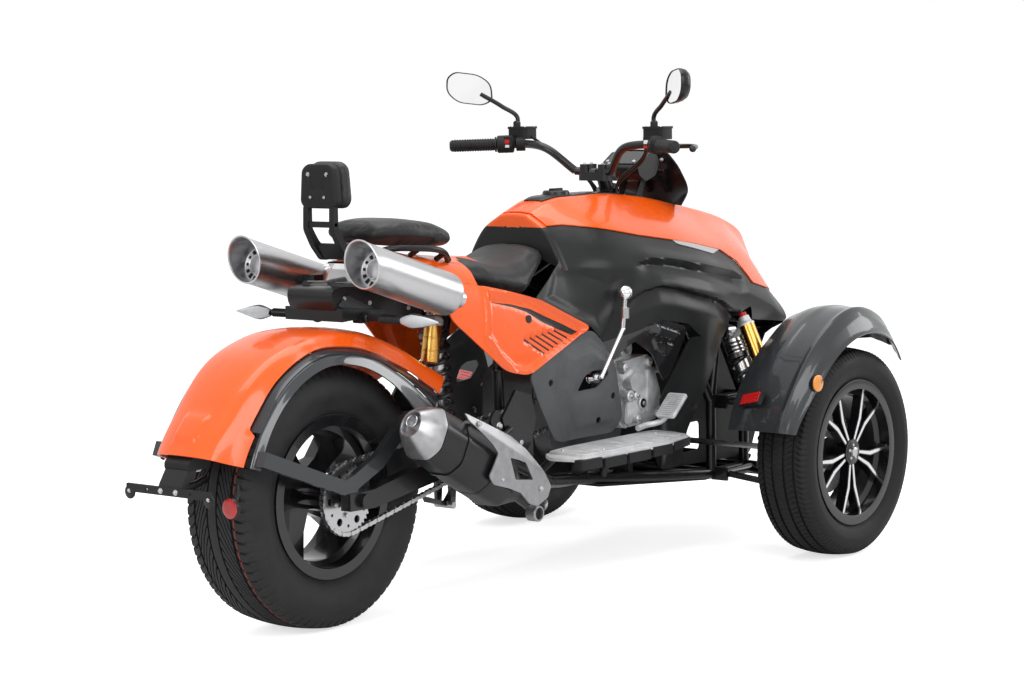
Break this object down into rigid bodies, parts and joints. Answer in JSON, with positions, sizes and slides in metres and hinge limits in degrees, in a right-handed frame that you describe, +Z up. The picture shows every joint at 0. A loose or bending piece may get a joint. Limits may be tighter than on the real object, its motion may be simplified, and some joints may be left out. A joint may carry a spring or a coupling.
{
  "type": "motorized trike",
  "caption": "Three-wheeled motorcycle with two steered front wheels, one chain-driven rear wheel, two seats, backrest, footboards and linked handlebar steering.",
  "frame": {"origin": "on the ground, under the middle of the vehicle's length and width", "axes": "+X forward along the vehicle's length, +Y to the rider's left, +Z up"},
  "size_m": [2.32, 1.296, 1.3124],
  "materials": {
    "body_orange": "gloss",
    "body_grey": "satin",
    "graphite": "satin",
    "black_trim": "matte",
    "black_gloss": "gloss",
    "frame_black": "satin",
    "cast_silver": "cast",
    "brushed": "brushed",
    "chrome_trim": "polished",
    "seat_vinyl": "matte",
    "tyre_rubber": "matte",
    "rim_black": "gloss",
    "steel": "machined",
    "lens": "clear",
    "engine_block": "cast"
  },
  "bodies": {
    "chassis": {"backrest_bracket": "black_trim", "backrest_pad": "seat_vinyl", "belly_pan": "black_trim", "body_side_left": "body_grey", "body_side_right": "body_grey", "brake_pedal": "cast_silver", "chain": "steel", "console": "black_trim", "engine": "engine_block", "fender_arches": "graphite", "fender_stays": "graphite", "footboards": "cast_silver", "frame": "frame_black", "front_shocks": "steel", "gear_lever": "chrome_trim", "grab_rail": "black_trim", "headlights": "lens", "leg_panels": "body_grey", "lower_covers": "black_trim", "lower_silencer": "frame_black", "nose": "body_grey", "passenger_seat": "seat_vinyl", "plate_bracket": "black_trim", "rear_fender": "body_orange", "rear_shock": "steel", "rear_signals": "black_trim", "rider_seat": "seat_vinyl", "shrouds": "black_gloss", "side_covers": "body_orange", "swingarm": "frame_black", "tail_cowl": "body_orange", "tail_lamp": "chrome_trim", "top_cover": "body_orange", "upper_silencers": "brushed", "wishbones": "frame_black"},
    "rear_wheel": {"rear_tyre": "tyre_rubber", "rear_rim": "rim_black", "rear_sprocket": "steel", "rear_disc": "steel"},
    "steering": {"handlebar": "frame_black", "mirrors": "black_gloss"},
    "knuckle_left_body": {"knuckle_left": "frame_black", "front_fender_left": "graphite"},
    "front_wheel_left": {"front_tyre_left": "tyre_rubber", "front_rim_left": "rim_black", "front_disc_left": "steel"},
    "tie_rod_left_body": {"tie_rod_left": "steel"},
    "knuckle_right_body": {"knuckle_right": "frame_black", "front_fender_right": "graphite"},
    "front_wheel_right": {"front_tyre_right": "tyre_rubber", "front_rim_right": "rim_black", "front_disc_right": "steel"},
    "tie_rod_right_body": {"tie_rod_right": "steel"}
  },
  "joints": [
    {"name": "rear_wheel_spin", "type": "hinge", "parent": "chassis", "child": "rear_wheel", "pos_m": [-0.691, 0, 0.317], "axis": [0, 1, 0], "continuous": true},
    {"name": "handlebar_steer", "type": "hinge", "parent": "chassis", "child": "steering", "pos_m": [0.77828, 0, 0.35009], "axis": [-0.3746, 0, 0.9272], "range_deg": [-30, 30]},
    {"name": "steer_left", "type": "hinge", "parent": "chassis", "child": "knuckle_left_body", "pos_m": [0.809, 0.445, 0.28], "axis": [0, 0, 1], "range_deg": [-24, 24]},
    {"name": "front_wheel_spin_left", "type": "hinge", "parent": "knuckle_left_body", "child": "front_wheel_left", "pos_m": [0.809, 0.5365, 0.28], "axis": [0, 1, 0], "continuous": true},
    {"name": "tie_rod_pivot_left", "type": "hinge", "parent": "knuckle_left_body", "child": "tie_rod_left_body", "pos_m": [0.684, 0.445, 0.294], "axis": [0, 0, 1], "range_deg": [-24, 24]},
    {"name": "steer_right", "type": "hinge", "parent": "chassis", "child": "knuckle_right_body", "pos_m": [0.809, -0.445, 0.28], "axis": [0, 0, 1], "range_deg": [-24, 24]},
    {"name": "front_wheel_spin_right", "type": "hinge", "parent": "knuckle_right_body", "child": "front_wheel_right", "pos_m": [0.809, -0.5365, 0.28], "axis": [0, 1, 0], "continuous": true},
    {"name": "tie_rod_pivot_right", "type": "hinge", "parent": "knuckle_right_body", "child": "tie_rod_right_body", "pos_m": [0.684, -0.445, 0.294], "axis": [0, 0, 1], "range_deg": [-24, 24]}
  ],
  "couplings": [
    {"joint": "steer_left", "follows": "handlebar_steer", "ratio": 0.8},
    {"joint": "tie_rod_pivot_left", "follows": "handlebar_steer", "ratio": -0.8},
    {"joint": "steer_right", "follows": "handlebar_steer", "ratio": 0.8},
    {"joint": "tie_rod_pivot_right", "follows": "handlebar_steer", "ratio": -0.8}
  ]
}
